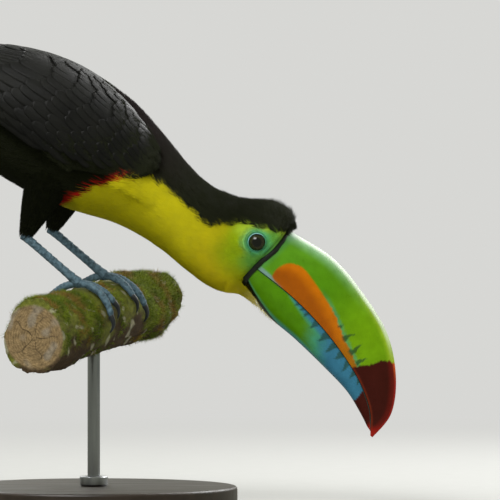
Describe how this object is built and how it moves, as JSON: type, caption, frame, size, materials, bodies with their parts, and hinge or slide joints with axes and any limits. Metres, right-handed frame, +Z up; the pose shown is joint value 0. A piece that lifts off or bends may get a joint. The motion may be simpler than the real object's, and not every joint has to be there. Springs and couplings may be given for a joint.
{
  "type": "keel-billed toucan",
  "caption": "Life-size keel-billed toucan leaning down off a cut length of mossy branch, on a round display stand.",
  "frame": {"origin": "centre of the underside of the display stand's round base", "axes": "+X ahead of the bird, +Y to its left, +Z up"},
  "size_m": [0.4503, 0.184, 0.2995],
  "materials": {
    "black_plumage": "matt black feathers with a faint brown-red gloss on the nape and mantle",
    "yellow_bib": "silky olive-yellow throat and breast, black hind neck",
    "face": "bare lime and turquoise skin round the eye, yellow cheek, black cap",
    "rump_feathers": "white coverts above the tail, red ones below",
    "bill_green": "glossy lime-green horn with an orange patch and a maroon tip",
    "bill_lower_blue": "glossy green to pale-blue horn with dark tooth marks and a maroon tip",
    "bill_rim": "black horn",
    "eye": "wet dark brown, nearly black",
    "leg_scales": "blue-grey scaled skin",
    "claw": "dark grey horn",
    "mossy_branch": "rough bark under green and brown moss",
    "stand_wood": "dark satin-finished wood",
    "stand_steel": "satin steel"
  },
  "bodies": {
    "root": {"bill_rim": "bill_rim", "bill_upper": "bill_green", "bill_lower": "bill_lower_blue", "head": "face", "neck": "yellow_bib", "trunk": "black_plumage", "rump": "rump_feathers", "tail": "black_plumage", "eye_left": "eye", "wing_left": "black_plumage", "thigh_left": "black_plumage", "foot_left": "leg_scales", "claw_inner_front_left": "claw", "claw_outer_front_left": "claw", "claw_outer_rear_left": "claw", "claw_inner_rear_left": "claw", "eye_right": "eye", "wing_right": "black_plumage", "thigh_right": "black_plumage", "foot_right": "leg_scales", "claw_inner_front_right": "claw", "claw_outer_front_right": "claw", "claw_outer_rear_right": "claw", "claw_inner_rear_right": "claw", "perch_branch": "mossy_branch", "stand_rod": "stand_steel", "stand_collar": "stand_steel", "stand_base": "stand_wood"}
  },
  "joints": []
}
